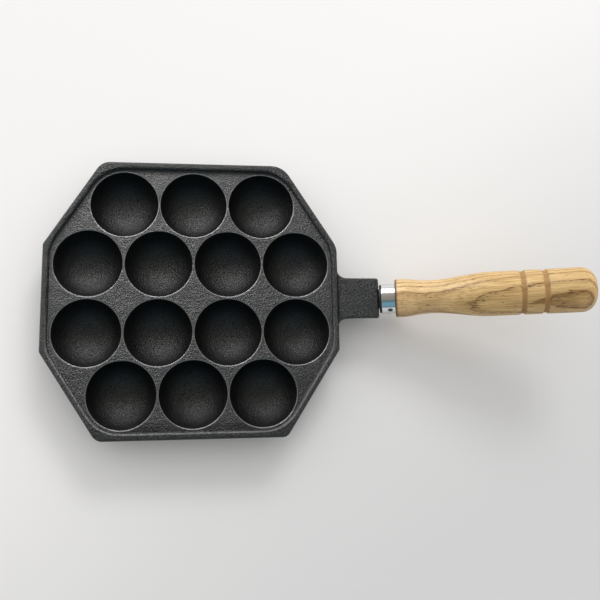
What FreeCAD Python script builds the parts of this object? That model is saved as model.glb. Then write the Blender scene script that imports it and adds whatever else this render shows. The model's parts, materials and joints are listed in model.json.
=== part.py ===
import FreeCAD, Part
import math
import os

# A cast-iron dumpling pan: an octagonal plate with fourteen round cups, and a turned wooden
# handle that a long bolt draws against the plate's neck.
# Millimetres. +X runs from the plate to the handle and +Z is up. The shapes are drawn about the
# middle of the deck, the flat top that the cups sink from, and moved to the row frame at the end.

V = FreeCAD.Vector

# ---------------------------------------------------------------- cups
CUPS_IN_ROW = (3, 4, 4, 3)
CUP_MOUTH_R = 22.7            # where the lip's round meets the deck
CUP_DEPTH = 20.0
CUP_LIP = 0.35                # radius of the rounded lip
CUP_WALL = 4.5
CUP_FLOOR = 3.5
LAND_IN_ROW = 0.6             # deck left between neighbours in one row
LAND_MIDDLE_ROWS = 0.9        # between the two middle rows, whose cups line up
LAND_STAGGERED = 1.4          # between cups of rows that are half a pitch apart

# ---------------------------------------------------------------- plate
LAND_SIDE = 1.9               # deck between the outer cups and the rim, at the sides
LAND_END = 1.65               # the same beside the first and last rows
LAND_DIAGONAL = 1.6           # the same at the four slanted sides
DIAGONAL_NORMAL = 32.5        # degrees that a slanted side faces away from X
RIM_WIDTH_SIDE = 4.25
RIM_WIDTH_END = 4.7
RIM_WIDTH_DIAGONAL = 4.2
RIM_HEIGHT = 3.0              # above the deck
RIM_DEPTH = 9.0               # below the deck
RIM_ROUND = 2.0               # on both upper edges of the rim
RIM_ROOT_ROUND = 0.7          # between the deck and the rim
RIM_FOOT_ROUND = 1.2          # on the rim's lower outer edge
DECK_THICKNESS = 4.5
# Hand-ground corners, anticlockwise from the first one above the neck.
CORNER_R = (15.0, 15.0, 10.0, 3.0, 3.5, 8.0, 6.0, 3.0)

# ---------------------------------------------------------------- neck
NECK_WIDTH = 28.8
NECK_LENGTH = 29.0
NECK_BOTTOM_WIDTH = 22.5      # the sides draw in below
NECK_THICKNESS = 16.0
NECK_TOP = 0.5                # above the deck
NECK_ROOT_WIDTH = 29.4        # at the plate's side, before the round in plan
NECK_ROOT_R = 6.5             # in plan, where the neck leaves the plate
NECK_FLARE_LENGTH = 16.0      # from the plate's side to where the flare has sunk in the neck's sides
NECK_FLARE_SINK = 0.15        # how far inside the sides the flare ends
NECK_BELLY_R = 5.5            # on the two long lower edges
NECK_TOP_R = 1.8              # on the upper edges
NECK_END_R = 1.7              # round the end face

# ---------------------------------------------------------------- handle line
HANDLE_TILT = 16.7            # degrees above the deck
AXIS_DROP = 6.0               # from the neck's top to the handle's axis, at the neck's end face
SEAT_R = 6.8                  # ground seat on the neck's end, square to the handle's axis
SEAT_STAND = 1.8              # along the axis, from the end face to the seat

# ---------------------------------------------------------------- bolt and its washers
BOLT_R = 3.0
THREAD_CLEARANCE = 0.05
HOLE_CLEARANCE = 0.3          # round the bolt in the washers, the ferrule and the grip
THREAD_IN_NECK = 16.0         # length of bolt past the seat
DRILL_PAST_BOLT = 2.0
HEAD_R = 6.0
HEAD_HEIGHT = 3.6
HEAD_EDGE_R = 1.8
SLOT_WIDTH = 1.6
SLOT_DEPTH = 1.8
TIP_CHAMFER = 0.7
WASHER_R = 6.0
WASHER_THICKNESS = 1.6
SPRING_WASHER_R = 5.9
SPRING_WASHER_THICKNESS = 1.6
SPRING_WASHER_SPLIT = 0.8
SPRING_WASHER_SKEW = 25.0     # degrees that the split leans

# ---------------------------------------------------------------- seat washer and ferrule
SEAT_WASHER_R = 9.8
SEAT_WASHER_THICKNESS = 1.45
FERRULE_R = 10.5
FERRULE_LENGTH = 9.35
FERRULE_WALL = 0.7
FERRULE_EDGE_R = 0.5          # on the front edge
TENON_CLEARANCE = 0.05
DIMPLE_WIDTH = 3.6            # punched into the ferrule's wall and the tenon under it
DIMPLE_DEPTH = 0.8
DIMPLE_ALONG = 5.8            # from the ferrule's front
DIMPLE_TURN = 58.0            # degrees from the top, towards -Y

# ---------------------------------------------------------------- grip
# Places along the grip are measured from the shoulder that the ferrule butts against.
GRIP_LENGTH = 133.05
COLLAR_R = 13.25
COLLAR_CHAMFER = 0.9
COLLAR_LENGTH = 4.5
FALL_R = 12.1                 # on the slope from the collar to the waist
FALL_AT = 15.3
WAIST_R = 11.45
WAIST_AT = 26.0
RISE_R = 13.35                # on the slope from the waist to the belly
RISE_AT = 45.5
BELLY_R = 15.15
BELLY_AT = 65.0
GROOVES_AT = (85.0, 99.7)
GROOVE_WIDTH = 4.7
GROOVE_DEPTH = 0.9
BUTT_ROUND = 10.0
COUNTERBORE_CLEARANCE = 1.5   # round the widest of the bolt's head and its washers
COUNTERBORE_DEPTH = 12.0

# ---------------------------------------------------------------- worked out
# The lip's round touches both the deck and the ball of the cup, which sets the ball's radius.
CUP_BALL_R = (CUP_MOUTH_R ** 2 + CUP_DEPTH ** 2) / (2 * CUP_DEPTH) - CUP_LIP
CUP_BALL_Z = CUP_BALL_R - CUP_DEPTH
STAND_HEIGHT = CUP_DEPTH + CUP_FLOOR          # from the flats under the cups to the deck
PITCH = 2 * CUP_MOUTH_R + LAND_IN_ROW
MIDDLE_ROW_Y = CUP_MOUTH_R + LAND_MIDDLE_ROWS / 2
STAGGERED_PITCH = 2 * CUP_MOUTH_R + LAND_STAGGERED
OUTER_ROW_Y = MIDDLE_ROW_Y + math.sqrt(STAGGERED_PITCH ** 2 - (PITCH / 2) ** 2)
ROW_Y = (OUTER_ROW_Y, MIDDLE_ROW_Y, -MIDDLE_ROW_Y, -OUTER_ROW_Y)
INNER_CORNER_R = CUP_MOUTH_R + LAND_END       # the rim's inner corners follow the corner cups

SIDE_X = (max(CUPS_IN_ROW) - 1) / 2 * PITCH + CUP_MOUTH_R + LAND_SIDE + RIM_WIDTH_SIDE
NECK_END_X = SIDE_X + NECK_LENGTH
AXIS_Z = NECK_TOP - AXIS_DROP                 # where the handle's axis meets the end face
TILT = math.radians(HANDLE_TILT)

CLEARANCE_HOLE_R = BOLT_R + HOLE_CLEARANCE
COUNTERBORE_R = max(HEAD_R, WASHER_R, SPRING_WASHER_R) + COUNTERBORE_CLEARANCE

# Places along the handle's axis, from the neck's end face.
SEAT = SEAT_STAND
FERRULE_FRONT = SEAT + SEAT_WASHER_THICKNESS
SHOULDER = FERRULE_FRONT + FERRULE_LENGTH
BUTT_END = SHOULDER + GRIP_LENGTH
COUNTERBORE_FLOOR = BUTT_END - COUNTERBORE_DEPTH
SPRING_WASHER_AT = COUNTERBORE_FLOOR + WASHER_THICKNESS
HEAD_AT = SPRING_WASHER_AT + SPRING_WASHER_THICKNESS
BOLT_TIP = SEAT - THREAD_IN_NECK


# ---------------------------------------------------------------- drawing helpers
def sides(side_gap, end_gap, diagonal_gap):
    """The plate's eight sides, as (unit normal, distance), each that far outside the cups."""
    slant = math.radians(DIAGONAL_NORMAL)
    turns = (
        (0, side_gap),
        (slant, diagonal_gap),
        (math.pi / 2, end_gap),
        (math.pi - slant, diagonal_gap),
        (math.pi, side_gap),
        (math.pi + slant, diagonal_gap),
        (-math.pi / 2, end_gap),
        (-slant, diagonal_gap),
    )
    found = []
    for turn, gap in turns:
        normal = V(math.cos(turn), math.sin(turn), 0)
        reach = max(normal.dot(centre) for centre in cup_centres())
        found.append((normal, reach + CUP_MOUTH_R + gap))
    return found


def corners(lines):
    """Where each side meets the next."""
    points = []
    for i, (n, d) in enumerate(lines):
        m, e = lines[(i + 1) % len(lines)]
        cross = n.x * m.y - n.y * m.x
        points.append(V((d * m.y - e * n.y) / cross, (n.x * e - m.x * d) / cross, 0))
    return points


def prism(points, radii, low, high):
    """An outline with rounded corners, drawn out from height low to height high."""
    count = len(points)
    cuts = []
    for i, (point, radius) in enumerate(zip(points, radii)):
        back = (points[i - 1] - point).normalize()
        ahead = (points[(i + 1) % count] - point).normalize()
        half = back.getAngle(ahead) / 2
        bisector = (back + ahead).normalize()
        reach = radius / math.tan(half)
        inset = radius / math.sin(half) - radius
        cuts.append((point + back * reach, point + bisector * inset, point + ahead * reach))
    edges = []
    for i, (start, middle, end) in enumerate(cuts):
        if radii[i] > 0:
            edges.append(Part.Arc(start, middle, end).toShape())
        edges.append(Part.LineSegment(end, cuts[(i + 1) % count][0]).toShape())
    outline = Part.Wire(edges)
    outline.translate(V(0, 0, low))
    return Part.Face(outline).extrude(V(0, 0, high - low))


def point_at(radius, along):
    return V(radius, 0, along)


def line(start, end):
    return Part.LineSegment(start, end).toShape()


def arc(start, middle, end):
    return Part.Arc(start, middle, end).toShape()


def turned(edges):
    """A solid of revolution about local Z, from edges in order in the X-Z half plane."""
    return Part.Face(Part.Wire(edges)).revolve(V(0, 0, 0), V(0, 0, 1), 360)


def rod(radius, start, end):
    """A cylinder on the local axis."""
    return Part.makeCylinder(radius, end - start, V(0, 0, start), V(0, 0, 1))


def on_handle_axis(shape):
    """Lay a shape made about local Z on the handle's axis, with local 0 at the neck's end face."""
    placed = shape.copy()
    placed.rotate(V(0, 0, 0), V(0, 1, 0), 90 - HANDLE_TILT)
    placed.translate(V(NECK_END_X, 0, AXIS_Z))
    return placed


def edges_where(shape, test):
    """Edges that pass the test at their ends and middle."""
    kept = []
    for edge in shape.Edges:
        first, last = edge.ParameterRange
        places = (first, (first + last) / 2, last)
        if all(test(edge.valueAt(place)) for place in places):
            kept.append(edge)
    return kept


def near(a, b):
    return abs(a - b) < 1e-4


# ---------------------------------------------------------------- plate
def cup_centres():
    """Middle of each cup in plan, row by row."""
    centres = []
    for count, y in zip(CUPS_IN_ROW, ROW_Y):
        for i in range(count):
            centres.append(V((i - (count - 1) / 2) * PITCH, y, 0))
    return centres


def cup_cutter():
    """The space inside a cup, with the lip's round, up past the rim."""
    ball = point_at(0, CUP_BALL_Z)
    lip = point_at(CUP_MOUTH_R, -CUP_LIP)
    floor = point_at(0, -CUP_DEPTH)
    meet = ball + (lip - ball).normalize() * CUP_BALL_R
    mouth = point_at(CUP_MOUTH_R, 0)
    ball_middle = ball + ((meet - ball) + (floor - ball)).normalize() * CUP_BALL_R
    lip_middle = lip + ((meet - lip).normalize() + V(0, 0, 1)).normalize() * CUP_LIP
    above = RIM_HEIGHT + 1
    return turned([
        arc(floor, ball_middle, meet),
        arc(meet, lip_middle, mouth),
        line(mouth, point_at(CUP_MOUTH_R, above)),
        line(point_at(CUP_MOUTH_R, above), point_at(0, above)),
        line(point_at(0, above), floor),
    ])


def cup_bump():
    """The outside of a cup below the deck, with the flat that it stands on."""
    ball = Part.makeSphere(CUP_BALL_R + CUP_WALL, V(0, 0, CUP_BALL_Z))
    reach = 2 * (CUP_BALL_R + CUP_WALL)
    below_deck = STAND_HEIGHT - DECK_THICKNESS / 2
    slab = Part.makeBox(reach, reach, below_deck, V(-reach / 2, -reach / 2, -STAND_HEIGHT))
    return ball.common(slab)


def plate():
    """The deck inside its rim, still without cups."""
    outer = corners(sides(
        LAND_SIDE + RIM_WIDTH_SIDE,
        LAND_END + RIM_WIDTH_END,
        LAND_DIAGONAL + RIM_WIDTH_DIAGONAL,
    ))
    inner = corners(sides(LAND_SIDE, LAND_END, LAND_DIAGONAL))
    inner_radii = [INNER_CORNER_R] * len(inner)
    body = prism(outer, CORNER_R, -RIM_DEPTH, RIM_HEIGHT)
    body = body.cut(prism(inner, inner_radii, 0, RIM_HEIGHT + 1))
    body = body.makeFillet(RIM_ROUND, edges_where(body, lambda p: near(p.z, RIM_HEIGHT)))
    body = body.makeFillet(RIM_ROOT_ROUND, edges_where(body, lambda p: near(p.z, 0)))
    body = body.makeFillet(RIM_FOOT_ROUND, edges_where(body, lambda p: near(p.z, -RIM_DEPTH)))
    return body.cut(prism(inner, inner_radii, -RIM_DEPTH - 1, -DECK_THICKNESS))


def neck():
    """The block that carries the handle: rounded below, and flared in plan where it leaves the plate."""
    half = NECK_WIDTH / 2
    bottom = NECK_TOP - NECK_THICKNESS
    root_x = SIDE_X - RIM_WIDTH_SIDE
    low_half = NECK_BOTTOM_WIDTH / 2
    section = [
        V(-low_half, bottom, 0),
        V(low_half, bottom, 0),
        V(half, NECK_TOP, 0),
        V(-half, NECK_TOP, 0),
    ]
    section_radii = (NECK_BELLY_R, NECK_BELLY_R, NECK_TOP_R, NECK_TOP_R)
    bar = prism(section, section_radii, root_x, NECK_END_X)
    bar = bar.makeFillet(NECK_END_R, edges_where(bar, lambda p: near(p.z, NECK_END_X)))
    bar.rotate(V(0, 0, 0), V(1, 1, 1), 120)
    flare_bottom = -RIM_DEPTH / 2
    draft = (half - low_half) / NECK_THICKNESS
    sunk_half = half - draft * (NECK_TOP - flare_bottom) - NECK_FLARE_SINK
    root_half = NECK_ROOT_WIDTH / 2
    flare_y = root_half + NECK_ROOT_R + NECK_TOP_R
    flare_x = SIDE_X + NECK_FLARE_LENGTH
    plan = [
        V(root_x, -flare_y, 0),
        V(SIDE_X, -flare_y, 0),
        V(SIDE_X, -root_half, 0),
        V(flare_x, -sunk_half, 0),
        V(flare_x, sunk_half, 0),
        V(SIDE_X, root_half, 0),
        V(SIDE_X, flare_y, 0),
        V(root_x, flare_y, 0),
    ]
    plan_radii = (0, 0, NECK_ROOT_R, 0, 0, NECK_ROOT_R, 0, 0)
    flare = prism(plan, plan_radii, flare_bottom, NECK_TOP)

    def on_upper_side(p):
        return near(p.z, NECK_TOP) and SIDE_X - 1e-4 < p.x and abs(p.y) > sunk_half - 1e-4

    flare = flare.makeFillet(NECK_TOP_R, edges_where(flare, on_upper_side))
    return bar.fuse(flare)


def neck_seat():
    """The pad on the neck's end face that the seat washer bears on, kept below the neck's top."""
    pad = on_handle_axis(rod(SEAT_R, SEAT - 2 * SEAT_R, SEAT))
    reach = 4 * SEAT_R
    room = Part.makeBox(reach, reach, reach)
    room.translate(V(NECK_END_X - reach / 2, -reach / 2, NECK_TOP - NECK_TOP_R - reach))
    return pad.common(room)


def pan():
    body = plate()
    for centre in cup_centres():
        bump = cup_bump()
        bump.translate(centre)
        body = body.fuse(bump)
    body = body.fuse(neck()).fuse(neck_seat())
    for centre in cup_centres():
        cutter = cup_cutter()
        cutter.translate(centre)
        body = body.cut(cutter)
    tapped_r = BOLT_R + THREAD_CLEARANCE
    drill_end = BOLT_TIP - DRILL_PAST_BOLT
    drill = rod(tapped_r, drill_end, SEAT + 1)
    drill = drill.fuse(Part.makeCone(0, tapped_r, tapped_r / 2, V(0, 0, drill_end - tapped_r / 2)))
    return body.cut(on_handle_axis(drill)).removeSplitter()


# ---------------------------------------------------------------- handle
def dimple(radius_added):
    """The ball that the punch leaves in the ferrule, grown by radius_added."""
    ball_r = ((DIMPLE_WIDTH / 2) ** 2 + DIMPLE_DEPTH ** 2) / (2 * DIMPLE_DEPTH)
    out = FERRULE_R - DIMPLE_DEPTH + ball_r
    turn = math.radians(DIMPLE_TURN)
    centre = V(-out * math.cos(turn), -out * math.sin(turn), FERRULE_FRONT + DIMPLE_ALONG)
    return Part.makeSphere(ball_r + radius_added, centre)


def seat_washer():
    disc = rod(SEAT_WASHER_R, SEAT, FERRULE_FRONT)
    return disc.cut(rod(CLEARANCE_HOLE_R, SEAT, FERRULE_FRONT))


def ferrule():
    """A drawn cup over the grip's tenon, locked by one punched dimple."""
    outside = rod(FERRULE_R, FERRULE_FRONT, SHOULDER)
    front = edges_where(outside, lambda p: near(p.z, FERRULE_FRONT))
    outside = outside.makeFillet(FERRULE_EDGE_R, front)
    inside = rod(FERRULE_R - FERRULE_WALL, FERRULE_FRONT + FERRULE_WALL, SHOULDER)
    dent = dimple(FERRULE_WALL).common(inside)
    cup = outside.cut(inside).fuse(dent)
    return cup.cut(dimple(0)).cut(rod(CLEARANCE_HOLE_R, FERRULE_FRONT, SHOULDER))


def grip_outline():
    """The turned outside, from the shoulder to the butt, as edges in order."""
    def at(radius, place):
        return point_at(radius, SHOULDER + place)

    edges = [
        line(at(0, 0), at(COLLAR_R - COLLAR_CHAMFER, 0)),
        line(at(COLLAR_R - COLLAR_CHAMFER, 0), at(COLLAR_R, COLLAR_CHAMFER)),
        line(at(COLLAR_R, COLLAR_CHAMFER), at(COLLAR_R, COLLAR_LENGTH)),
    ]
    swell = Part.BSplineCurve()
    swell.interpolate(
        Points=[
            at(COLLAR_R, COLLAR_LENGTH),
            at(FALL_R, FALL_AT),
            at(WAIST_R, WAIST_AT),
            at(RISE_R, RISE_AT),
            at(BELLY_R, BELLY_AT),
        ],
        InitialTangent=V(0, 0, 1),
        FinalTangent=V(0, 0, 1),
    )
    edges.append(swell.toShape())
    reached = BELLY_AT
    for groove in GROOVES_AT:
        start = groove - GROOVE_WIDTH / 2
        end = groove + GROOVE_WIDTH / 2
        edges.append(line(at(BELLY_R, reached), at(BELLY_R, start)))
        edges.append(arc(at(BELLY_R, start), at(BELLY_R - GROOVE_DEPTH, groove), at(BELLY_R, end)))
        reached = end
    rounded_from = GRIP_LENGTH - BUTT_ROUND
    on_round = BUTT_ROUND * math.sqrt(0.5)
    flat_r = BELLY_R - BUTT_ROUND
    edges.append(line(at(BELLY_R, reached), at(BELLY_R, rounded_from)))
    edges.append(arc(
        at(BELLY_R, rounded_from),
        at(flat_r + on_round, rounded_from + on_round),
        at(flat_r, GRIP_LENGTH),
    ))
    edges.append(line(at(flat_r, GRIP_LENGTH), at(0, GRIP_LENGTH)))
    edges.append(line(at(0, GRIP_LENGTH), at(0, 0)))
    return edges


def grip():
    tenon_r = FERRULE_R - FERRULE_WALL - TENON_CLEARANCE
    tenon_front = FERRULE_FRONT + FERRULE_WALL + TENON_CLEARANCE
    tenon = rod(tenon_r, tenon_front, SHOULDER).cut(dimple(FERRULE_WALL + TENON_CLEARANCE))
    body = turned(grip_outline()).fuse(tenon)
    body = body.cut(rod(CLEARANCE_HOLE_R, tenon_front, BUTT_END))
    return body.cut(rod(COUNTERBORE_R, COUNTERBORE_FLOOR, BUTT_END))


def butt_washer():
    disc = rod(WASHER_R, COUNTERBORE_FLOOR, SPRING_WASHER_AT)
    return disc.cut(rod(CLEARANCE_HOLE_R, COUNTERBORE_FLOOR, SPRING_WASHER_AT))


def spring_washer():
    """A split ring, drawn flat as the tight bolt leaves it."""
    ring = rod(SPRING_WASHER_R, SPRING_WASHER_AT, HEAD_AT)
    ring = ring.cut(rod(CLEARANCE_HOLE_R, SPRING_WASHER_AT, HEAD_AT))
    length = 2 * SPRING_WASHER_R
    height = 3 * SPRING_WASHER_THICKNESS
    split = Part.makeBox(length, SPRING_WASHER_SPLIT, height)
    split.translate(V(0, -SPRING_WASHER_SPLIT / 2, -height / 2))
    split.rotate(V(0, 0, 0), V(1, 0, 0), SPRING_WASHER_SKEW)
    split.translate(V(0, 0, (SPRING_WASHER_AT + HEAD_AT) / 2))
    return ring.cut(split)


def handle_bolt():
    """A long slotted pan-head bolt."""
    head_top = HEAD_AT + HEAD_HEIGHT
    head = rod(HEAD_R, HEAD_AT, head_top)
    head = head.makeFillet(HEAD_EDGE_R, edges_where(head, lambda p: near(p.z, head_top)))
    slot = Part.makeBox(2 * HEAD_R, SLOT_WIDTH, SLOT_DEPTH)
    slot.translate(V(-HEAD_R, -SLOT_WIDTH / 2, head_top - SLOT_DEPTH))
    shank = rod(BOLT_R, BOLT_TIP, HEAD_AT)
    shank = shank.makeChamfer(TIP_CHAMFER, edges_where(shank, lambda p: near(p.z, BOLT_TIP)))
    return shank.fuse(head).cut(slot)


# ---------------------------------------------------------------- assembly
def butt_reach():
    """The largest X that the grip reaches: on the butt's round, or on the counterbore's edge."""
    flat_r = BELLY_R - BUTT_ROUND
    radius = max(flat_r + BUTT_ROUND * math.sin(TILT), COUNTERBORE_R)
    back = BUTT_ROUND
    if radius > flat_r:
        back -= math.sqrt(BUTT_ROUND ** 2 - (radius - flat_r) ** 2)
    along = BUTT_END - back
    return NECK_END_X + along * math.cos(TILT) + radius * math.sin(TILT)


def main():
    parts = {
        "pan": pan(),
        "seat_washer": on_handle_axis(seat_washer()),
        "ferrule": on_handle_axis(ferrule()),
        "grip": on_handle_axis(grip()),
        "butt_washer": on_handle_axis(butt_washer()),
        "spring_washer": on_handle_axis(spring_washer()),
        "handle_bolt": on_handle_axis(handle_bolt()),
    }
    # The row's origin is under the middle of the whole length, on the surface it stands on.
    to_row = V((SIDE_X - butt_reach()) / 2, 0, STAND_HEIGHT)
    os.makedirs("parts", exist_ok=True)
    for name, shape in parts.items():
        shape.translate(to_row)
        if not shape.isValid() or len(shape.Solids) != 1:
            raise ValueError(name + " isn't one valid solid")
        shape.exportStep("parts/" + name + ".step")
        box = shape.BoundBox
        print(name, round(shape.Volume / 1000, 2), "cm3", [round(v, 2) for v in (
            box.XMin, box.XMax, box.YMin, box.YMax, box.ZMin, box.ZMax)])
    print("handle axis through x", NECK_END_X + to_row.x, "z", AXIS_Z + to_row.z, "tilt", HANDLE_TILT)


main()
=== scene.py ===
import json
import math
from types import SimpleNamespace

import bpy
import numpy as np
from mathutils import Euler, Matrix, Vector


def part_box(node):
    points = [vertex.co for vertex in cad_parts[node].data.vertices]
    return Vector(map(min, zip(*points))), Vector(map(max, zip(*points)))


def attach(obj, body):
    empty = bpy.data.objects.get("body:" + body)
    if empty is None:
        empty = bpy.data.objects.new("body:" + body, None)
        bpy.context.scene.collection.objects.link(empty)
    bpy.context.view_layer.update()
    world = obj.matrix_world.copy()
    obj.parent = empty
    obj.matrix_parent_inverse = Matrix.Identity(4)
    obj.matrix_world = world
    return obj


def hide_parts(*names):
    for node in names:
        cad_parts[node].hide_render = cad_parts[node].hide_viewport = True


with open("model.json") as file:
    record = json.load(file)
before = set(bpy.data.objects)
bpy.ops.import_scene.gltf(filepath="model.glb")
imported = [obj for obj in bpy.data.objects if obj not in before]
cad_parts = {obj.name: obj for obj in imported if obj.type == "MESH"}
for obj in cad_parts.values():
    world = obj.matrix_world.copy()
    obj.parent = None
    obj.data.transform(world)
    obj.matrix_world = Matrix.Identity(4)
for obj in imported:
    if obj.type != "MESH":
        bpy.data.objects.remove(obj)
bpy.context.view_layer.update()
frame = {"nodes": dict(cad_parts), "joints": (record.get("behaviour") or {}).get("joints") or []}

# Places and sizes are in millimetres unless a name says otherwise. The row frame is in metres.
MM = 0.001

# ---------------------------------------------------------------- the object's own sizes
PLATE_HALF_LENGTH = 97.85
DECK_HEIGHT = 23.5
CUP_MOUTH_R = 22.7
CUP_LIP = 0.35                      # radius of the rounded lip
PITCH = 46.0
MIDDLE_ROW_Y = 23.15
OUTER_ROW_Y = 63.91
PLATE_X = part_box("pan")[0].x / MM + PLATE_HALF_LENGTH

# Along the handle's axis, from the neck's end face.
BOLT_TIP = -14.2
TENON_FRONT = 4.0
SHOULDER = 12.6
COUNTERBORE_FLOOR = 133.65
HEAD_AT = 136.85
BUTT_END = 145.64                   # 0.01 inside the CAD grip, so that the mesh stays in its box

FERRULE_R = 10.5
DIMPLE_R = 2.0
DIMPLE_TURN = 58.0                  # degrees from the top, towards -Y
DIMPLE_FROM_SHOULDER = -3.55

# Along the grip, from its shoulder.
COLLAR_R = 13.25
COLLAR_CHAMFER = 0.9
COLLAR_LENGTH = 4.5
BELLY_R = 15.14                     # 0.01 inside the CAD grip too
BELLY_AT = 65.0
SWELL = ((COLLAR_LENGTH, COLLAR_R), (15.3, 12.1), (26.0, 11.45), (45.5, 13.35), (BELLY_AT, BELLY_R))
GROOVES_AT = (85.0, 99.7)
GROOVE_WIDTH = 4.7
GROOVE_DEPTH = 0.9
BUTT_ROUND = 10.0
COUNTERBORE_R = 7.5
TENON_R = 9.75
CLEARANCE_HOLE_R = 3.3

BOLT_R = 3.0
HEAD_R = 6.0
HEAD_HEIGHT = 3.6
HEAD_ROUND = 1.8
SLOT_WIDTH = 1.6
SLOT_DEPTH = 1.8
THREAD_PITCH = 1.0
THREAD_DEPTH = 0.55
THREAD_FLAT = 0.15                  # share of half a pitch that is flat at the crest and at the root
THREAD_LENGTH = 26.0
TIP_CHAMFER = 0.7

# ---------------------------------------------------------------- camera, in the plate's frame
FOCAL_PIXELS = 714.9
PICTURE_WIDTH = 600
SENSOR_WIDTH = 36.0
CAMERA_AT = (5.416, -81.048, 475.567)
CAMERA_TURN = (9.583, -7.721, -1.281)   # degrees about X, Y and Z
CLIP_START = 0.01                       # metres


def joint_named(name):
    return next(joint for joint in frame["joints"] if joint["name"] == name)


AXIS = Vector(joint_named("handle_withdraw")["axis"]).normalized()
AXIS_POINT = Vector(joint_named("bolt_turn")["pos_m"])
ACROSS = Vector((0, 1, 0))
UPWARD = AXIS.cross(ACROSS)


# ---------------------------------------------------------------- node helpers
def put(tree, kind, inputs=None, **settings):
    """A new shader node with its settings made and its inputs set or linked."""
    made = tree.nodes.new("ShaderNode" + kind)
    for name, value in settings.items():
        setattr(made, name, value)
    for name, value in (inputs or {}).items():
        if isinstance(value, bpy.types.NodeSocket):
            tree.links.new(value, made.inputs[name])
        else:
            made.inputs[name].default_value = value
    return made


def maths(tree, operation, *values):
    inputs = dict(enumerate(values))
    return put(tree, "Math", inputs, operation=operation).outputs[0]


def times(tree, a, b):
    return maths(tree, "MULTIPLY", a, b)


def most(tree, first, *others):
    """The largest of several values."""
    for other in others:
        first = maths(tree, "MAXIMUM", first, other)
    return first


def length_of(tree, a, b):
    """The length of a vector in a plane, from its two sides."""
    squares = maths(tree, "ADD", maths(tree, "POWER", a, 2.0), maths(tree, "POWER", b, 2.0))
    return maths(tree, "SQRT", squares)


def joined(tree, *axes):
    return put(tree, "CombineXYZ", dict(enumerate(axes))).outputs[0]


def dot(tree, vector, other):
    if not isinstance(other, bpy.types.NodeSocket):
        other = tuple(other)
    inputs = {0: vector, 1: other}
    return put(tree, "VectorMath", inputs, operation="DOT_PRODUCT").outputs["Value"]


def scaled(tree, vector, factors):
    return put(tree, "VectorMath", {0: vector, 1: factors}, operation="MULTIPLY").outputs[0]


def smooth(tree, value, low, high, out_low=0.0, out_high=1.0):
    """A smooth step from out_low at low to out_high at high. The lower end may be the larger number."""
    inputs = {"Value": value, 1: low, 2: high, 3: out_low, 4: out_high}
    return put(tree, "MapRange", inputs, interpolation_type="SMOOTHSTEP").outputs[0]


def hump(tree, value, centre, reach, flat=0.0):
    """1 within flat of the centre, and smoothly down to 0 at reach from it."""
    away = maths(tree, "ABSOLUTE", maths(tree, "SUBTRACT", value, centre))
    return smooth(tree, away, reach, flat)


def rgb(colour):
    """A grey or a colour as the four numbers that a socket takes."""
    if isinstance(colour, (int, float)):
        colour = (colour,) * 3
    return (*colour, 1.0)


def mix(tree, factor, a, b):
    """Colour a turning into b. Each is a socket, a grey or a colour."""
    a, b = (each if isinstance(each, bpy.types.NodeSocket) else rgb(each) for each in (a, b))
    return put(tree, "Mix", {0: factor, 6: a, 7: b}, data_type="RGBA").outputs[2]


def stained(tree, body, where, share, colour):
    """A colour with at most this share of a stain over it, where a mask is 1."""
    return mix(tree, times(tree, where, share), body, colour)


def ramp(tree, factor, stops):
    """A colour ramp with stops of (place, colour)."""
    made = put(tree, "ValToRGB", {"Fac": factor})
    elements = made.color_ramp.elements
    elements[0].position = stops[0][0]
    elements[0].color = rgb(stops[0][1])
    elements[1].position = stops[-1][0]
    elements[1].color = rgb(stops[-1][1])
    for place, colour in stops[1:-1]:
        elements.new(place).color = rgb(colour)
    return made.outputs["Color"]


def noise(tree, vector, scale, detail=2.0, rough=0.5, distort=0.0):
    inputs = {"Vector": vector, "Scale": scale, "Detail": detail, "Roughness": rough,
              "Distortion": distort}
    return put(tree, "TexNoise", inputs).outputs[0]


def stretched_noise(tree, vector, along, around, detail=2.0, rough=0.5):
    """Noise with one scale along the grain and another one across it."""
    return noise(tree, scaled(tree, vector, (along, around, around)), 1.0, detail, rough)


def noise_vector(tree, vector, scale, reach):
    """A wandering offset of up to about reach / 2 each way."""
    wander = put(tree, "TexNoise", {"Vector": vector, "Scale": scale, "Detail": 2.0}).outputs["Color"]
    centred = put(tree, "VectorMath", {0: wander, 1: (0.5,) * 3}, operation="SUBTRACT").outputs[0]
    return scaled(tree, centred, (reach,) * 3)


def bump(tree, height, distance, strength=1.0, under=None):
    inputs = {"Height": height, "Distance": distance * MM, "Strength": strength}
    if under is not None:
        inputs["Normal"] = under
    return put(tree, "Bump", inputs).outputs[0]


def place_in_mm(tree):
    coordinates = put(tree, "TexCoord").outputs["Object"]
    return scaled(tree, coordinates, (1 / MM,) * 3)


def new_material(name):
    """An empty material, its tree, and its Principled shader linked to the output."""
    material = bpy.data.materials.new(name)
    material.use_nodes = True
    tree = material.node_tree
    tree.nodes.clear()
    shader = put(tree, "BsdfPrincipled")
    output = put(tree, "OutputMaterial")
    tree.links.new(shader.outputs[0], output.inputs["Surface"])
    return material, tree, shader


def feed(tree, shader, **sockets):
    """Set or link the shader's sockets; a socket's spaces are written as underscores."""
    for name, value in sockets.items():
        socket = shader.inputs[name.replace("_", " ")]
        if isinstance(value, bpy.types.NodeSocket):
            tree.links.new(value, socket)
        else:
            socket.default_value = value


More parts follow.
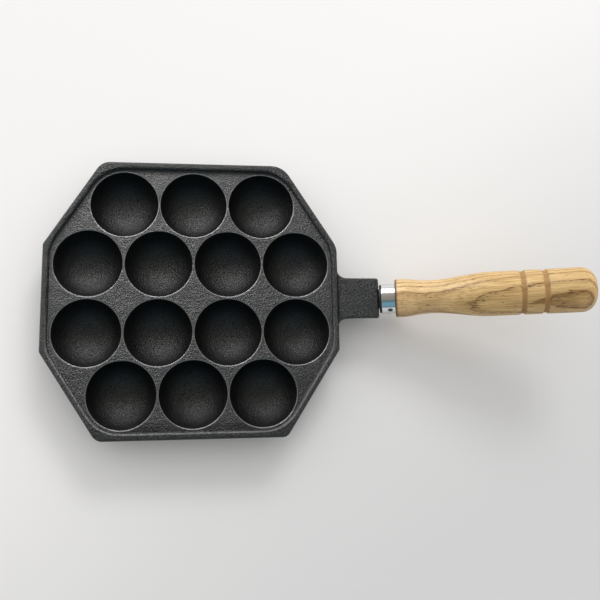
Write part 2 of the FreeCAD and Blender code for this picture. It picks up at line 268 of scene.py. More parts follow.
# ---------------------------------------------------------------- cast iron
# The casting's grain, from coarse to fine: scales per millimetre, and depths.
SWELL_SCALE, SWELL_DEPTH = 0.09, 0.9
LEATHER_SCALE, LEATHER_DEPTH = 0.85, 0.22
PEBBLE_SCALE, PEBBLE_DEPTH = 1.7, 0.42
SAND_SCALE, SAND_DEPTH = 3.2, 0.08
GRAIN_OFF_DECK = 1.8                # grain depths on the rim and neck, where the deck's are 1
GRAIN_IN_CUPS = 0.9
GRAIN_ON_LIPS = 0.25
LIP_OFFSET = 0.12                   # from the mouth's edge, inward and down, to the middle of the lip
RIM_FROM, RIM_TO = 0.4, 1.4         # heights over the deck between which the rim's finish sets in
NECK_BLEND = 0.5                    # how far each side of the plate's end the neck's finish sets in

DUST_SCALE = 0.05
COAT_CLEAN = 0.010
COAT_DUSTY = (0.0135, 0.0142, 0.0155)
# Painted shade: a darker coat in the grain's creases.
COAT_CREASE_SHADE = 0.004
COAT_OFF_DECK = (0.005, 0.0055, 0.007)
COAT_IN_CUPS = (0.0080, 0.0083, 0.0088)
COAT_IOR = 2.0
COAT_ROUGH = (0.37, 0.43)
ROUGHER_IN_CUPS = 0.1
SMOOTHER_WHERE_WORN = 0.1
# Soot and painted shade: a near-black that also dulls the coat's reflection where it lies.
SOOT_AND_SHADE = 0.002
# Bare metal, on worn lips and grain peaks, and as the painted highlight on the near side's inner rim edge.
BARE_IRON_AND_HIGHLIGHT = 0.30

HIGHLIGHT_TO_Y = -50.0                      # the painted highlight on the rim's inner edge grows from the middle to here
SHADED_EDGE_Y = (-79.0, -85.0)        # where painted shade sets in along the near edge
# Painted shade also grows towards the near right corner, between CORNER_FROM and CORNER_TO of this
# measure.
CORNER_SLANT = 0.8                  # of x, less y, measures how near a point is to the near right corner
CORNER_FROM, CORNER_TO = 75.0, 140.0


def from_cup_centre(tree, x, y, row_y, fold_at):
    """Distance in plan from the nearest cup of the two rows at row_y, which end at fold_at + PITCH / 2."""
    folded = maths(tree, "ABSOLUTE", maths(tree, "SUBTRACT", maths(tree, "ABSOLUTE", x), fold_at))
    across = maths(tree, "SUBTRACT", folded, PITCH / 2)
    along = maths(tree, "SUBTRACT", maths(tree, "ABSOLUTE", y), row_y)
    return length_of(tree, across, along)


def pan_zones(tree, place):
    """Places from the middle of the deck, and masks of the cups, their lips, and the rim and neck."""
    axes = put(tree, "SeparateXYZ", {0: place})
    x = maths(tree, "SUBTRACT", axes.outputs[0], PLATE_X)
    y = axes.outputs[1]
    z = maths(tree, "SUBTRACT", axes.outputs[2], DECK_HEIGHT)
    nearest = maths(tree, "MINIMUM", from_cup_centre(tree, x, y, MIDDLE_ROW_Y, PITCH),
                    from_cup_centre(tree, x, y, OUTER_ROW_Y, PITCH / 2))
    in_mouth = smooth(tree, nearest, CUP_MOUTH_R, CUP_MOUTH_R - CUP_LIP)
    below_deck = smooth(tree, z, 0.1, -CUP_LIP)
    lip_in_plan = hump(tree, nearest, CUP_MOUTH_R - LIP_OFFSET, reach=0.5, flat=0.2)
    lip_in_height = hump(tree, z, -LIP_OFFSET, reach=0.45, flat=0.25)
    on_neck = smooth(tree, x, PLATE_HALF_LENGTH - NECK_BLEND, PLATE_HALF_LENGTH + NECK_BLEND)
    on_rim = smooth(tree, z, RIM_FROM, RIM_TO)
    return SimpleNamespace(x=x, y=y, z=z, nearest=nearest,
                           in_cup=times(tree, in_mouth, below_deck),
                           lip=times(tree, lip_in_plan, lip_in_height),
                           off_deck=most(tree, on_neck, on_rim))


def iron_relief(tree, place, zone, pebbles, sand):
    """The casting's grain, deeper off the deck and worn down on the cups' lips."""
    wandered = put(tree, "VectorMath", {0: place, 1: noise_vector(tree, place, 0.5, 0.7)},
                   operation="ADD").outputs[0]
    cells = put(tree, "TexVoronoi", {"Vector": wandered, "Scale": LEATHER_SCALE, "Smoothness": 0.4,
                                     "Randomness": 1.0}, feature="SMOOTH_F1").outputs["Distance"]
    leather = smooth(tree, cells, 0.75, 0.1)
    swell = noise(tree, place, SWELL_SCALE)
    depth = maths(tree, "SUBTRACT", 1.0, times(tree, zone.in_cup, 1.0 - GRAIN_IN_CUPS))
    depth = times(tree, depth, smooth(tree, zone.off_deck, 0.0, 1.0, 1.0, GRAIN_OFF_DECK))
    depth = times(tree, depth, smooth(tree, zone.lip, 0.0, 1.0, 1.0, GRAIN_ON_LIPS))
    relief = bump(tree, swell, SWELL_DEPTH)
    relief = bump(tree, times(tree, leather, depth), LEATHER_DEPTH, under=relief)
    relief = bump(tree, times(tree, pebbles, depth), PEBBLE_DEPTH, under=relief)
    return bump(tree, sand, SAND_DEPTH, under=relief)


def iron_wear_and_highlight(tree, zone, pebbles, sand):
    """Bare metal on the cups' lips and on grain peaks off the deck, and a painted highlight: bright bare
    metal on the rim's inner edge on the near side.
    """
    lips = times(tree, zone.lip, smooth(tree, sand, 0.3, 0.6, 0.7, 1.0))
    facing = put(tree, "NewGeometry").outputs["Normal"]
    from_middle = put(tree, "VectorMath", {0: joined(tree, zone.x, zone.y)},
                      operation="NORMALIZE").outputs[0]
    outward = dot(tree, facing, from_middle)
    # Painted highlight: the rim's inner edge on the near side, where the window's reflection falls, turns
    # bright bare metal.
    inner_edge = times(tree, smooth(tree, outward, -0.25, -0.6), smooth(tree, zone.z, 1.3, 2.0))
    inner_edge = times(tree, inner_edge, smooth(tree, zone.y, 0.0, HIGHLIGHT_TO_Y))
    painted_highlight = times(tree, inner_edge, smooth(tree, sand, 0.3, 0.6, 0.45, 0.75))
    peaks = times(tree, smooth(tree, pebbles, 0.56, 0.7), times(tree, zone.off_deck, 0.25))
    return most(tree, lips, painted_highlight, peaks)


def iron_soot_and_shade(tree, zone, pebbles):
    """Soot off the deck, and painted shade: a dull black in creases, at the rim's and neck's roots, along
    the near edge, towards the near right corner and towards the cups' walls.
    """
    # Painted shade: the rim's and neck's roots, the grain's creases, the near edge, the near right corner
    # and the cups' walls.
    rim_root_shade = times(tree, hump(tree, zone.z, 0.4, reach=0.4, flat=0.1), 0.3)
    neck_root_shade = times(tree, hump(tree, zone.x, PLATE_HALF_LENGTH, reach=1.1, flat=0.35),
                      smooth(tree, zone.z, -1.0, 0.3, 0.0, 0.8))
    towards_corner = maths(tree, "SUBTRACT", times(tree, zone.x, CORNER_SLANT), zone.y)
    near_corner_shade = smooth(tree, towards_corner, CORNER_FROM, CORNER_TO, 0.0, 0.35)
    near_edge_shade = smooth(tree, zone.y, *SHADED_EDGE_Y, 0.0, 0.5)
    crease_shade = smooth(tree, pebbles, 0.52, 0.36, 0.0, 0.75)
    cup_wall_shade = smooth(tree, zone.nearest, 0.3 * CUP_MOUTH_R, 0.95 * CUP_MOUTH_R, 0.0, 0.75)
    return most(tree, rim_root_shade, neck_root_shade, crease_shade, near_edge_shade, near_corner_shade,
                times(tree, zone.off_deck, 0.3), times(tree, zone.in_cup, cup_wall_shade))


def cast_iron():
    """Black-coated sand casting: a fine leathery grain, blacker in the cups and on rim and neck, with
    painted shade in creases, at roots and corners and towards the cups' walls, and a painted highlight on
    the near inner rim edge.
    """
    material, tree, shader = new_material("cast_iron_black")
    place = place_in_mm(tree)
    zone = pan_zones(tree, place)
    pebbles = noise(tree, place, PEBBLE_SCALE, 2.0, 0.55, distort=0.3)
    sand = noise(tree, place, SAND_SCALE, 2.0, 0.6)

    dust = smooth(tree, noise(tree, place, DUST_SCALE, 3.0), 0.35, 0.65)
    coat = mix(tree, dust, COAT_CLEAN, COAT_DUSTY)
    # Painted shade: a darker coat in the grain's creases.
    coat = mix(tree, smooth(tree, pebbles, 0.34, 0.56), COAT_CREASE_SHADE, coat)
    coat = mix(tree, zone.off_deck, coat, mix(tree, 0.5, coat, COAT_OFF_DECK))
    coat = mix(tree, zone.in_cup, coat, COAT_IN_CUPS)
    # Wear with a painted highlight, and soot with painted shade.
    wear_and_highlight = iron_wear_and_highlight(tree, zone, pebbles, sand)
    soot_and_shade = iron_soot_and_shade(tree, zone, pebbles)
    colour = mix(tree, wear_and_highlight, mix(tree, soot_and_shade, coat, SOOT_AND_SHADE), BARE_IRON_AND_HIGHLIGHT)

    rough = smooth(tree, pebbles, 0.3, 0.7, *COAT_ROUGH)
    rough = maths(tree, "ADD", rough, times(tree, zone.in_cup, ROUGHER_IN_CUPS))
    rough = maths(tree, "SUBTRACT", rough, times(tree, wear_and_highlight, SMOOTHER_WHERE_WORN))
    feed(tree, shader, Base_Color=colour, Metallic=most(tree, soot_and_shade, wear_and_highlight), Roughness=rough,
         Normal=iron_relief(tree, place, zone, pebbles, sand), IOR=COAT_IOR)
    return material


# ---------------------------------------------------------------- wood
# Heights of ring boundaries over the axis. The rings go on evenly below and above them.
RINGS = (7.3, 10.4, 16.3, 19.75)
RING_RISE = 0.05        # how much the rings climb for each millimetre towards the butt
RING_TURN = 33.0        # degrees that the rings' outward side leans towards -Y
PITH_DEPTH = 70.0       # from the axis to the tree's middle
RINGS_BELOW = 40.0      # more rings than lie below the first one, so that no count is negative
CROWDED_RING = len(RINGS) - 2       # from this ring on, the pores stand closer
LAST_RING = len(RINGS) - 1          # from this ring on, the early wood is browner

# Noise scales per millimetre, along the grain and across it.
FIBRE_SCALE = (0.045, 1.7)
HAIR_SCALE = (0.10, 5.0)
PORE_SCALE = (0.26, 1.9)
PATCH_SCALE = (0.03, 0.22)
LAZY_SCALE, LAZY_REACH = (0.022, 0.07), 0.7
WAVY_SCALE, WAVY_REACH = (0.05, 0.35), 0.4

WOOD_FIBRES = (0.61, 0.395, 0.15), (0.82, 0.57, 0.255)
WOOD_EARLY = (0.26, 0.13, 0.038), (0.44, 0.26, 0.09)
EARLY_SHARES = (0.45, 0.75)         # of early wood's colour, in the other rings and in the last one
PORE_CROWDING = (0.10, 0.16)
PALER_FROM, PALER_TO = 48.0, 18.0   # along the grip, towards the collar

# Stains over the wood: the share of each that shows, and its colour.
WOOD_PATCH = 0.35, (0.50, 0.32, 0.125)
WOOD_BY_COLLAR = 0.5, (0.90, 0.645, 0.335)
WOOD_LATE = 0.25, (0.38, 0.21, 0.075)
WOOD_RING_LINE = 0.55, (0.30, 0.145, 0.04)
WOOD_STREAK = 0.42, (0.40, 0.21, 0.06)
WOOD_PORE = 0.85, (0.13, 0.058, 0.016)
WOOD_GROOVE = 0.72, (0.32, 0.16, 0.045)
WOOD_END_GRAIN = 0.75, (0.15, 0.075, 0.028)
WOOD_BY_FERRULE = 0.7, (0.04, 0.022, 0.012)
LACQUER_IOR = 1.47
LACQUER_ROUGH = (0.34, 0.46)
ROUGHER_IN_GROOVES = 0.28


def handle_coordinates(tree):
    """(along the axis from the shoulder, towards +Y, upward) in millimetres, as sockets."""
    place = place_in_mm(tree)
    origin = (AXIS_POINT + AXIS * SHOULDER * MM) / MM
    local = put(tree, "VectorMath", {0: place, 1: tuple(origin)}, operation="SUBTRACT").outputs[0]
    return dot(tree, local, AXIS), dot(tree, local, ACROSS), dot(tree, local, UPWARD)


def ring_count(tree, along, across, upward, place):
    """Growth rings from the first of RINGS, counted outward from the tree's middle."""
    lazy = stretched_noise(tree, place, *LAZY_SCALE)
    wavy = stretched_noise(tree, place, *WAVY_SCALE)
    lean = math.radians(RING_TURN)
    pith_across = maths(tree, "ADD", across, -PITH_DEPTH * math.sin(lean))
    pith_upward = maths(tree, "ADD", upward, PITH_DEPTH * math.cos(lean))
    height = maths(tree, "SUBTRACT", length_of(tree, pith_across, pith_upward), PITH_DEPTH)
    height = maths(tree, "ADD", height, times(tree, along, RING_RISE))
    height = maths(tree, "ADD", height, smooth(tree, lazy, 0.2, 0.8, -LAZY_REACH, LAZY_REACH))
    height = maths(tree, "ADD", height, smooth(tree, wavy, 0.2, 0.8, -WAVY_REACH, WAVY_REACH))
    below = maths(tree, "MINIMUM", maths(tree, "SUBTRACT", height, RINGS[0]), 0.0)
    above = maths(tree, "MAXIMUM", maths(tree, "SUBTRACT", height, RINGS[-1]), 0.0)
    count = maths(tree, "ADD", maths(tree, "DIVIDE", below, RINGS[1] - RINGS[0]),
                  maths(tree, "DIVIDE", above, RINGS[-1] - RINGS[-2]))
    for low, high in zip(RINGS, RINGS[1:]):
        passed = put(tree, "MapRange", {"Value": height, 1: low, 2: high}).outputs[0]
        count = maths(tree, "ADD", count, passed)
    return count


def ring_marks(tree, rings, pore):
    """Masks of the rings' marks.

    A ring starts with porous brown early wood behind a thin line, and ends a little darker.
    """
    phase = maths(tree, "FRACT", maths(tree, "ADD", rings, RINGS_BELOW))
    in_last = smooth(tree, rings, LAST_RING - 0.05, LAST_RING + 0.05)
    early = times(tree, smooth(tree, phase, 0.0, 0.05), smooth(tree, phase, 0.55, 0.2))
    porous = times(tree, smooth(tree, phase, 0.0, 0.04), smooth(tree, phase, 0.42, 0.12))
    crowding = smooth(tree, rings, CROWDED_RING - 0.1, CROWDED_RING, *PORE_CROWDING)
    return SimpleNamespace(
        early=times(tree, early, smooth(tree, in_last, 0.0, 1.0, *EARLY_SHARES)),
        line=times(tree, smooth(tree, phase, 0.0, 0.03), smooth(tree, phase, 0.17, 0.08)),
        late=smooth(tree, phase, 0.7, 1.0),
        pores=smooth(tree, maths(tree, "ADD", times(tree, porous, crowding), pore), 0.68, 0.74))


def wood():
    """Pale lacquered hardwood, sawn flat: growth rings that the turned shape cuts into ovals."""
    material, tree, shader = new_material("pale_wood")
    along, across, upward = handle_coordinates(tree)
    place = joined(tree, along, across, upward)
    fibre = stretched_noise(tree, place, *FIBRE_SCALE, 3.0, 0.6)
    hair = stretched_noise(tree, place, *HAIR_SCALE, 2.0, 0.6)
    pore = stretched_noise(tree, place, *PORE_SCALE, 1.0)
    patchy = stretched_noise(tree, place, *PATCH_SCALE)
    marks = ring_marks(tree, ring_count(tree, along, across, upward, place), pore)

    body = mix(tree, smooth(tree, fibre, 0.32, 0.66), *WOOD_FIBRES)
    body = stained(tree, body, smooth(tree, patchy, 0.35, 0.7), *WOOD_PATCH)
    body = stained(tree, body, smooth(tree, along, PALER_FROM, PALER_TO), *WOOD_BY_COLLAR)
    body = stained(tree, body, marks.late, *WOOD_LATE)
    body = mix(tree, marks.early, body, mix(tree, smooth(tree, hair, 0.35, 0.65), *WOOD_EARLY))
    body = stained(tree, body, marks.line, *WOOD_RING_LINE)
    body = stained(tree, body, smooth(tree, fibre, 0.5, 0.38), *WOOD_STREAK)
    body = stained(tree, body, marks.pores, *WOOD_PORE)

    # The lathe has left the grooves brown, and the lacquer has darkened the end grain.
    grooves = [hump(tree, along, groove, GROOVE_WIDTH / 2, GROOVE_WIDTH / 4) for groove in GROOVES_AT]
    browned = maths(tree, "ADD", *grooves)
    body = stained(tree, body, browned, *WOOD_GROOVE)
    butt = BUTT_END - SHOULDER
    end_grain = most(tree, smooth(tree, along, 2.0, 1.1), smooth(tree, along, butt - 0.6, butt - 0.1))
    body = stained(tree, body, end_grain, *WOOD_END_GRAIN)
    body = stained(tree, body, smooth(tree, along, 1.0, 0.5), *WOOD_BY_FERRULE)

    relief = bump(tree, hair, 0.03)
    relief = bump(tree, marks.pores, 0.05, strength=0.6, under=relief)
    rough = smooth(tree, hair, 0.3, 0.7, *LACQUER_ROUGH)
    rough = maths(tree, "MULTIPLY_ADD", browned, ROUGHER_IN_GROOVES, rough)
    feed(tree, shader, Base_Color=body, Normal=relief, Roughness=rough, IOR=LACQUER_IOR)
    return material


# ---------------------------------------------------------------- metals and the black washer
DRAWN_SCALE = (14.0, 0.15)          # noise scales per millimetre, along the axis and across it
PLATING = (0.76, 0.77, 0.78)
PLATING_ROUGH = (0.05, 0.11)
# Painted shade: a near-black plating colour in the punched dimple.
DIMPLE_SHADE = 0.03
ZINC_CLOUDS = (0.50, 0.50, 0.49), (0.62, 0.62, 0.60)
ZINC_ROUGH = (0.24, 0.4)
SLOT_DARKENING = 0.85, 0.04              # the share of the darkening that shows, and its grey
# Rougher in the dimple's painted shade and in the bolt's slot.
ROUGHER_IN_DIMPLE_AND_SLOT = 0.3
BLACK_FIBRES = 0.006, 0.02
FIBRE_ROUGH = (0.45, 0.65)


def chrome():
    """Bright plating with faint drawing lines round it, and painted shade in the punched dimple."""
    material, tree, shader = new_material("ferrule_chrome_plate")
    along, across, upward = handle_coordinates(tree)
    place = joined(tree, along, across, upward)
    drawn = stretched_noise(tree, place, *DRAWN_SCALE)
    turn = math.radians(DIMPLE_TURN)
    dimple = (DIMPLE_FROM_SHOULDER, -FERRULE_R * math.sin(turn), FERRULE_R * math.cos(turn))
    away = put(tree, "VectorMath", {0: place, 1: dimple}, operation="DISTANCE").outputs["Value"]
    # Painted shade darkens the plating in the dimple.
    dimple_shade = smooth(tree, away, DIMPLE_R, 0.6 * DIMPLE_R, 0.0, 0.9)
    rough = smooth(tree, drawn, 0.3, 0.7, *PLATING_ROUGH)
    rough = maths(tree, "ADD", rough, times(tree, dimple_shade, ROUGHER_IN_DIMPLE_AND_SLOT))
    feed(tree, shader, Base_Color=mix(tree, dimple_shade, PLATING, DIMPLE_SHADE), Metallic=1.0,
         Roughness=rough, Normal=bump(tree, drawn, 0.002))
    return material


def steel():
    """Dull zinc plate, darker in the bolt's slot."""
    material, tree, shader = new_material("zinc_plate")
    place = place_in_mm(tree)
    cloudy = noise(tree, place, 0.6, 3.0)
    colour = mix(tree, smooth(tree, cloudy, 0.3, 0.7), *ZINC_CLOUDS)
    along, across, _ = handle_coordinates(tree)
    head_foot = HEAD_AT - SHOULDER
    head_top = head_foot + HEAD_HEIGHT
    in_slot = times(tree, hump(tree, across, 0.0, SLOT_WIDTH / 2 + 0.1, SLOT_WIDTH / 2),
                    smooth(tree, along, head_top - 0.1, head_top - 0.6))
    in_slot = times(tree, in_slot, smooth(tree, along, head_foot, head_foot + 0.5))
    colour = stained(tree, colour, in_slot, *SLOT_DARKENING)
    rough = smooth(tree, cloudy, 0.3, 0.7, *ZINC_ROUGH)
    feed(tree, shader, Base_Color=colour, Metallic=1.0,
         Roughness=maths(tree, "MULTIPLY_ADD", in_slot, ROUGHER_IN_DIMPLE_AND_SLOT, rough),
         Normal=bump(tree, noise(tree, place, 4.0), 0.01))
    return material


def black_fibre():
    """Matt black fibre board."""
    material, tree, shader = new_material("black_fibre_washer")
    fine = noise(tree, place_in_mm(tree), 3.0, 3.0)
    feed(tree, shader, Base_Color=mix(tree, fine, *BLACK_FIBRES),
         Roughness=smooth(tree, fine, 0.3, 0.7, *FIBRE_ROUGH), Normal=bump(tree, fine, 0.03))
    return material


# ---------------------------------------------------------------- turned pieces
ROUND_STEPS = 5         # faces across a softened corner
SHARP_ANGLE = 35.0      # degrees between faces, from which an edge looks sharp
GRIP_AROUND = 144
SWELL_POINTS = 61
GROOVE_POINTS = 25
GROOVE_POWER = 1.25     # over 1, so that a groove's sides leave the surface gently
BUTT_POINTS = 19
MOUTH_GAP = 0.4         # between the butt's last point and the counterbore's edge, which is softened
BOLT_AROUND = 48
POINTS_PER_TURN = 12    # along the thread
HEAD_POINTS = 9
HEAD_FOOT = 0.2         # bevel on the head's lower edge

# Lengths cut off each side of the grip's corners, where they are softened.
TENON_CUT = 0.5
SHOULDER_CUT = 0.25
COLLAR_CUT = 0.35
COUNTERBORE_CUT = 0.3


def on_axis(radius, turn, place):
    """A point in metres. Turn 0 is towards +Y, and place counts from the neck's end face."""
    outward = ACROSS * math.cos(turn) + UPWARD * math.sin(turn)
    return AXIS_POINT + (AXIS * place + outward * radius) * MM


def soften(corners):
    """Points of a closed outline whose corners are (radius, place, length cut off each side)."""
    points = []
    for i, (radius, place, cut) in enumerate(corners):
        here = Vector((radius, place))
        before = Vector(corners[i - 1][:2])
        after = Vector(corners[(i + 1) % len(corners)][:2])
        start = here + (before - here).normalized() * cut
        end = here + (after - here).normalized() * cut
        for step in range(ROUND_STEPS + 1 if cut else 1):
            t = step / ROUND_STEPS
            points.append(start.lerp(here, t).lerp(here.lerp(end, t), t))
    return points


def shade_smooth(mesh):
    mesh.shade_smooth()
    mesh.set_sharp_from_angle(angle=math.radians(SHARP_ANGLE))


def new_piece(name, points, faces, finish, body, node):
    """A smooth mesh that stands for a CAD node."""
    mesh = bpy.data.meshes.new(name)
    mesh.from_pydata([tuple(point) for point in points], [], faces)
    mesh.materials.append(finish)
    piece = bpy.data.objects.new(name, mesh)
    bpy.context.scene.collection.objects.link(piece)
    shade_smooth(mesh)
    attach(piece, body)
    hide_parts(node)
    return piece


def clamped_cubic(knots, steps):
    """Points (value, place) on the cubic spline through (place, value) knots, level at both ends."""
    places, values = (np.array(column) for column in zip(*knots))
    gaps = np.diff(places)
    rates = np.diff(values) / gaps
    system = np.eye(len(knots))
    right = np.zeros(len(knots))
    for i in range(1, len(knots) - 1):
        system[i, i - 1:i + 2] = gaps[i], 2 * (gaps[i - 1] + gaps[i]), gaps[i - 1]
        right[i] = 3 * (gaps[i] * rates[i - 1] + gaps[i - 1] * rates[i])
    slopes = np.linalg.solve(system, right)
    found = []
    for place in np.linspace(places[0], places[-1], steps):
        i = min(int(np.searchsorted(places, place, side="right")) - 1, len(gaps) - 1)
        t = (place - places[i]) / gaps[i]
        found.append((
            (1 + 2 * t) * (1 - t) ** 2 * values[i] + t * t * (3 - 2 * t) * values[i + 1]
            + gaps[i] * t * (1 - t) * ((1 - t) * slopes[i] - t * slopes[i + 1]), place))
    return found


def groove_corners(middle):
    """A turned groove with soft sides, as corners that are cut off nowhere."""
    corners = []
    for across in np.linspace(-1.0, 1.0, GROOVE_POINTS):
        depth = GROOVE_DEPTH * (1 - across ** 2) ** GROOVE_POWER
        corners.append((BELLY_R - depth, SHOULDER + middle + across * GROOVE_WIDTH / 2, 0.0))
    return corners


def butt_corners():
    """The butt's round, up to the counterbore's mouth and down to its floor."""
    rounded_from = BUTT_END - BUTT_ROUND
    flat_r = BELLY_R - BUTT_ROUND
    last_turn = math.acos((COUNTERBORE_R + MOUTH_GAP - flat_r) / BUTT_ROUND)
    corners = []
    for turn in np.linspace(0.0, last_turn, BUTT_POINTS):
        radius = flat_r + BUTT_ROUND * math.cos(turn)
        corners.append((radius, rounded_from + BUTT_ROUND * math.sin(turn), 0.0))
    mouth = rounded_from + math.sqrt(BUTT_ROUND ** 2 - (COUNTERBORE_R - flat_r) ** 2)
    return corners + [
        (COUNTERBORE_R, mouth, COUNTERBORE_CUT),
        (COUNTERBORE_R, COUNTERBORE_FLOOR, COUNTERBORE_CUT),
        (CLEARANCE_HOLE_R, COUNTERBORE_FLOOR, 0.0),
    ]


def grip_corners():
    """The grip's section, once round: tenon, shoulder, turned outside, butt, counterbore and bore."""
    corners = [
        (CLEARANCE_HOLE_R, TENON_FRONT, 0.0),
        (TENON_R, TENON_FRONT, TENON_CUT),
        (TENON_R, SHOULDER, 0.0),
        (COLLAR_R - COLLAR_CHAMFER, SHOULDER, SHOULDER_CUT),
        (COLLAR_R, SHOULDER + COLLAR_CHAMFER, COLLAR_CUT),
    ]
    corners += [(radius, SHOULDER + place, 0.0) for radius, place in clamped_cubic(SWELL, SWELL_POINTS)]
    for groove in GROOVES_AT:
        corners += groove_corners(groove)
    return corners + butt_corners()


def build_grip(finish):
    outline = soften(grip_corners())
    count = len(outline)
    turns = [math.tau * k / GRIP_AROUND for k in range(GRIP_AROUND)]
    points = [on_axis(radius, turn, place) for turn in turns for radius, place in outline]
    faces = []
    for k in range(GRIP_AROUND):
        here, there = k * count, (k + 1) % GRIP_AROUND * count
        for i in range(count):
            j = (i + 1) % count
            faces.append((here + i, there + i, there + j, here + j))
    new_piece("turned_grip", points, faces, finish, "handle", "grip")


def thread_radius(turn, place):
    """The bolt's radius: a right-hand thread on the tip, which runs out into the shank."""
    phase = (place / THREAD_PITCH - turn / math.tau) % 1.0
    flank = abs(phase - 0.5) * 2
    cut = min(max((flank - THREAD_FLAT) / (1 - 2 * THREAD_FLAT), 0.0), 1.0)
    run_out = min(max((BOLT_TIP + THREAD_LENGTH - place) / THREAD_PITCH, 0.0), 1.0)
    chamfered = BOLT_R - TIP_CHAMFER + place - BOLT_TIP
    return min(BOLT_R - THREAD_DEPTH * cut * run_out, chamfered)


def cut_slot(piece):
    """Cut the screwdriver slot across the bolt's head."""
    half = Vector((SLOT_WIDTH / 2, HEAD_R + 1, SLOT_DEPTH))
    top = HEAD_AT + HEAD_HEIGHT
    points = [AXIS_POINT + (ACROSS * u * half.x + UPWARD * v * half.y + AXIS * (top + w * half.z)) * MM
              for u in (-1, 1) for v in (-1, 1) for w in (-1, 1)]
    faces = [(0, 1, 3, 2), (4, 6, 7, 5), (0, 4, 5, 1), (2, 3, 7, 6), (0, 2, 6, 4), (1, 5, 7, 3)]
    mesh = bpy.data.meshes.new("slot")
    mesh.from_pydata([tuple(point) for point in points], [], faces)
    cutter = bpy.data.objects.new("slot", mesh)
    bpy.context.scene.collection.objects.link(cutter)
    change = piece.modifiers.new("slot", "BOOLEAN")
    change.operation = "DIFFERENCE"
    change.solver = "EXACT"
    change.object = cutter
    depsgraph = bpy.context.evaluated_depsgraph_get()
    done = bpy.data.meshes.new_from_object(piece.evaluated_get(depsgraph))
    piece.modifiers.clear()
    piece.data = done
    bpy.data.objects.remove(cutter)
    shade_smooth(done)


def bolt_rows():
    """(radius, place) of each ring of points from tip to head, with no radius along the thread."""
    thread_points = POINTS_PER_TURN * round(THREAD_LENGTH / THREAD_PITCH) + 1
    rows = [(None, place) for place in np.linspace(BOLT_TIP, BOLT_TIP + THREAD_LENGTH, thread_points)]
    rows += [(BOLT_R, HEAD_AT), (HEAD_R - HEAD_FOOT, HEAD_AT), (HEAD_R, HEAD_AT + HEAD_FOOT)]
    rounded_from = HEAD_AT + HEAD_HEIGHT - HEAD_ROUND
    for turn in np.linspace(0.0, math.pi / 2, HEAD_POINTS):
        radius = HEAD_R - HEAD_ROUND + HEAD_ROUND * math.cos(turn)
        rows.append((radius, rounded_from + HEAD_ROUND * math.sin(turn)))
    return rows


def build_bolt(finish):
    rows = bolt_rows()
    points = []
    for radius, place in rows:
        for k in range(BOLT_AROUND):
            turn = math.tau * k / BOLT_AROUND
            points.append(on_axis(radius or thread_radius(turn, place), turn, place))
    faces = []
    for i in range(len(rows) - 1):
        here, ahead = i * BOLT_AROUND, (i + 1) * BOLT_AROUND
        for k in range(BOLT_AROUND):
            j = (k + 1) % BOLT_AROUND
            faces.append((here + k, here + j, ahead + j, ahead + k))
    last = (len(rows) - 1) * BOLT_AROUND
    faces.append(tuple(reversed(range(BOLT_AROUND))))
    faces.append(tuple(range(last, last + BOLT_AROUND)))
    piece = new_piece("threaded_bolt", points, faces, finish, "bolt", "handle_bolt")
    cut_slot(piece)


# ---------------------------------------------------------------- stage
FLOOR_HALF = 3.0                    # metres
# The floor's colour is a painted fall-off of light: bright at one side, dim at the other.
FLOOR_BRIGHT = (0.94, 0.93, 0.915)
FLOOR_DIM = (0.68, 0.68, 0.68)
PAINTED_FLOOR_FALLOFF = (0.6, -1.0, 0.0)       # the way in which the painted fall-off makes the floor dimmer
FALLOFF_FROM, FALLOFF_TO = -160.0, 260.0  # along the way of the painted fall-off


def build_floor():
    mesh = bpy.data.meshes.new("floor")
    corners = [(x * FLOOR_HALF, y * FLOOR_HALF, 0) for x, y in ((-1, -1), (1, -1), (1, 1), (-1, 1))]
    mesh.from_pydata(corners, [], [(0, 1, 2, 3)])
    floor = bpy.data.objects.new("floor", mesh)
    bpy.context.scene.collection.objects.link(floor)
    material, tree, shader = new_material("pale_table")
    # Painted fall-off of light across the floor.
    painted_falloff = dot(tree, place_in_mm(tree), PAINTED_FLOOR_FALLOFF)
    colour = mix(tree, smooth(tree, painted_falloff, FALLOFF_FROM, FALLOFF_TO), FLOOR_BRIGHT, FLOOR_DIM)
    feed(tree, shader, Base_Color=colour, Roughness=0.8, Specular_IOR_Level=0.0)
    mesh.materials.append(material)


AMBIENT = 0.81          # of a white floor's light; the key lamp gives the rest
AMBIENT_LEAN = 0.85     # how much more of it comes from +Y than from overhead

# What polished metal sees of the room: colours by their lean from straight up, towards +Y.
ROOM = (
    (-90, (0.25, 0.26, 0.27)),
    (-76, (0.15, 0.23, 0.26)),
    (-66, (0.18, 0.35, 0.44)),
    (-40, (0.18, 0.35, 0.44)),
    (-28, (0.12, 0.18, 0.20)),
    (-14, (0.29, 0.27, 0.24)),
    (15, (0.36, 0.33, 0.29)),
    (30, (0.46, 0.44, 0.40)),
    (38, (0.82, 0.82, 0.82)),
    (90, (0.84, 0.84, 0.84)),
)
HORIZON = (0.80, 0.80, 0.79)
HORIZON_FROM = 3.0      # degrees up, where the plain horizon starts to give way to the room
HORIZON_TO = 12.0


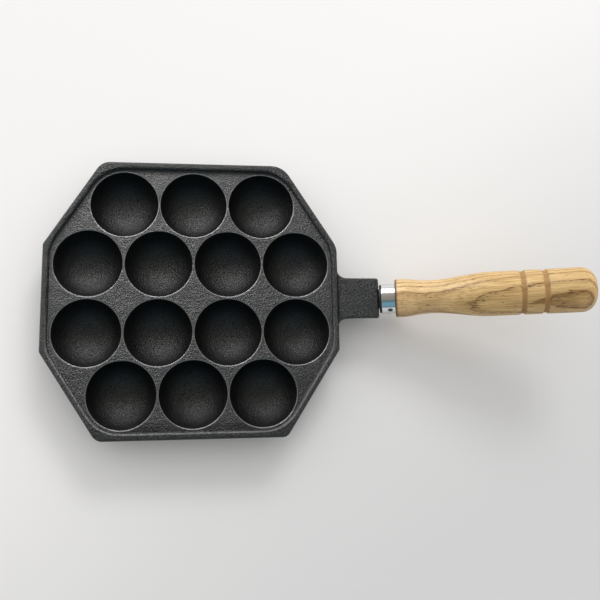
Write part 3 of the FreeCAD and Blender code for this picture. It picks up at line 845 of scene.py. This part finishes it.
def build_world():
    """Even light for matt surfaces, and a room for reflections, over a plain pale horizon.

    A camera sees the horizon's colour all the way up.
    """
    world = bpy.data.worlds.new("room")
    bpy.context.scene.world = world
    world.use_nodes = True
    world.cycles.sampling_method = "NONE"
    tree = world.node_tree
    tree.nodes.clear()
    axes = put(tree, "SeparateXYZ", {0: put(tree, "TexCoord").outputs["Generated"]})
    lean = maths(tree, "ARCSINE", axes.outputs[1])
    share = put(tree, "MapRange", {"Value": lean, 1: -math.pi / 2, 2: math.pi / 2}).outputs[0]
    colours = ramp(tree, share, [((angle + 90) / 180, colour) for angle, colour in ROOM])
    rise = smooth(tree, axes.outputs[2], math.sin(math.radians(HORIZON_FROM)),
                  math.sin(math.radians(HORIZON_TO)))
    path = put(tree, "LightPath")
    rise = times(tree, rise, maths(tree, "SUBTRACT", 1.0, path.outputs["Is Camera Ray"]))
    room = put(tree, "Background", {"Color": mix(tree, rise, HORIZON, colours)}).outputs[0]
    leaning = maths(tree, "MULTIPLY_ADD", axes.outputs[1], AMBIENT * AMBIENT_LEAN, AMBIENT)
    even = put(tree, "Background", {"Color": rgb(1.0), "Strength": leaning}).outputs[0]
    both = put(tree, "MixShader", {0: path.outputs["Is Diffuse Ray"], 1: room, 2: even}).outputs[0]
    put(tree, "OutputWorld", {"Surface": both})


KEY_TURN = 16.0         # degrees from +Y towards +X
KEY_RISE = 35.0
KEY_DISTANCE = 3000.0
KEY_WATTS = 27.0
KEY_SIZE = (1300.0, 700.0)

WINDOW_GLOW = 6.5       # its strength, where a white floor's is 1
WINDOW_AT = (-240.0, 346.0, 265.0)
WINDOW_SIZE = (480.0, 270.0)


def area_lamp(name, place, facing, size, watts):
    """A rectangular lamp at a place in millimetres, whose light leaves it along facing."""
    light = bpy.data.lights.new(name, "AREA")
    light.shape = "RECTANGLE"
    light.size = size[0] * MM
    light.size_y = size[1] * MM
    light.energy = watts
    lamp = bpy.data.objects.new(name, light)
    lamp.location = Vector(place) * MM
    lamp.rotation_euler = (-Vector(facing)).to_track_quat("Z", "Y").to_euler()
    lamp.visible_camera = False
    bpy.context.scene.collection.objects.link(lamp)
    return lamp


def build_key():
    """The far lamp that casts the soft shadow."""
    turn = math.radians(KEY_TURN)
    rise = math.radians(KEY_RISE)
    towards = Vector((math.sin(turn) * math.cos(rise), math.cos(turn) * math.cos(rise), math.sin(rise)))
    lamp = area_lamp("key", towards * KEY_DISTANCE, -towards, KEY_SIZE, KEY_WATTS)
    lamp.visible_glossy = False


def build_window():
    """A bright upright window that only reflections see."""
    area = WINDOW_SIZE[0] * WINDOW_SIZE[1] * MM * MM
    lamp = area_lamp("window", WINDOW_AT, (0, -1, 0), WINDOW_SIZE, WINDOW_GLOW * math.pi * area)
    lamp.visible_diffuse = False


def build_camera():
    data = bpy.data.cameras.new("camera")
    data.sensor_fit = "HORIZONTAL"
    data.sensor_width = SENSOR_WIDTH
    data.lens = FOCAL_PIXELS / PICTURE_WIDTH * SENSOR_WIDTH
    data.clip_start = CLIP_START
    camera = bpy.data.objects.new("camera", data)
    x, y, z = CAMERA_AT
    camera.location = Vector((x + PLATE_X, y, z + DECK_HEIGHT)) * MM
    camera.rotation_euler = Euler([math.radians(angle) for angle in CAMERA_TURN], "XYZ")
    bpy.context.scene.collection.objects.link(camera)
    bpy.context.scene.camera = camera


# ---------------------------------------------------------------- making it
bpy.context.scene.view_settings.view_transform = "Standard"
build_camera()
build_floor()
build_world()
build_key()
build_window()

ZINC = steel()
FINISHES = {
    "pan": cast_iron(),
    "seat_washer": black_fibre(),
    "ferrule": chrome(),
    "grip": wood(),
}
for node_name, node in frame["nodes"].items():
    node.data.materials.clear()
    node.data.materials.append(FINISHES.get(node_name, ZINC))
build_grip(FINISHES["grip"])
build_bolt(ZINC)
